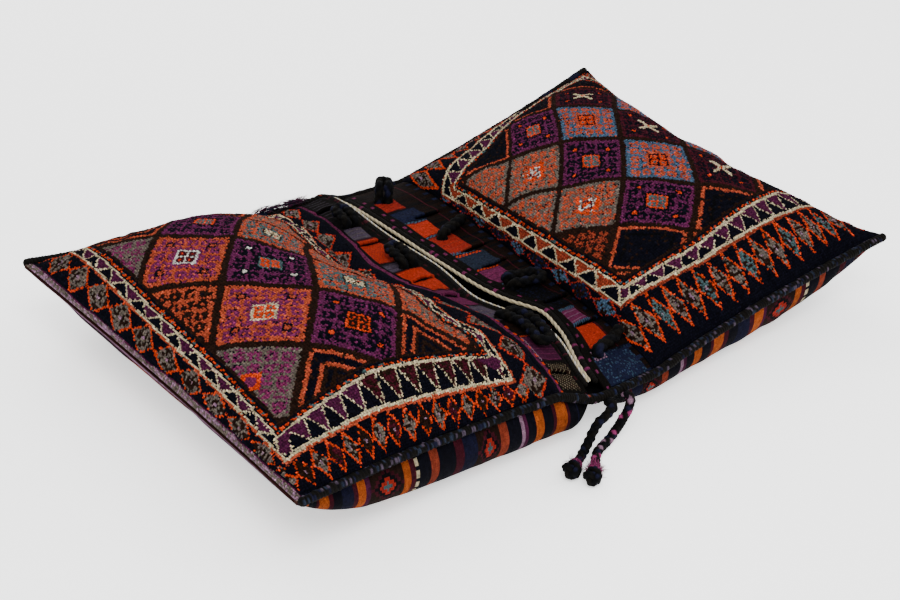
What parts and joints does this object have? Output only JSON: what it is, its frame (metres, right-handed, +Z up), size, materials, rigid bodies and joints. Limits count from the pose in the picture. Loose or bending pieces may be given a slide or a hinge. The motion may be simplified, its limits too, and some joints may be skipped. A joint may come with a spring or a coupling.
{
  "type": "kilim saddle bag",
  "caption": "Woven double saddle bag with pile-knotted faces, a flat-woven back and bridge, braided loops through slit closure panels and tasselled cords.",
  "frame": {"origin": "on the floor under the middle of the bag", "axes": "+X from the left pouch to the right one along the bag, +Y from the near side seam to the far one, +Z up"},
  "size_m": [1.0014, 0.7013, 0.1827],
  "materials": {
    "wool_pile": "knotted wool pile in madder, navy, plum and undyed brown",
    "flat_weave": "flat-woven striped wool",
    "goat_hair": "overcast and braided black goat hair",
    "cream_cotton": "twisted undyed cotton cord",
    "purple_wool": "loose dyed wool"
  },
  "bodies": {
    "root": {"left_face": "wool_pile", "right_face": "wool_pile", "back_and_bridge": "flat_weave", "left_binding_near": "goat_hair", "left_binding_far": "goat_hair", "right_binding_near": "goat_hair", "right_binding_far": "goat_hair", "bridge_binding_near": "goat_hair", "bridge_binding_far": "goat_hair", "left_mouth_roll": "goat_hair", "right_mouth_roll": "goat_hair", "left_loop_far": "goat_hair", "left_loop_middle": "goat_hair", "left_loop_near": "goat_hair", "right_loop_upright": "goat_hair", "right_loop_far": "goat_hair", "right_loop_middle": "goat_hair", "right_loop_near": "goat_hair", "tassel_cord_left": "goat_hair", "tassel_cord_right": "goat_hair", "tassel_knot_left": "goat_hair", "tassel_knot_right": "goat_hair", "cream_mouth_cord": "cream_cotton", "white_mouth_cord": "cream_cotton", "tassel_tie_left": "purple_wool", "tassel_tie_right": "purple_wool", "far_tuft": "purple_wool"}
  },
  "joints": []
}
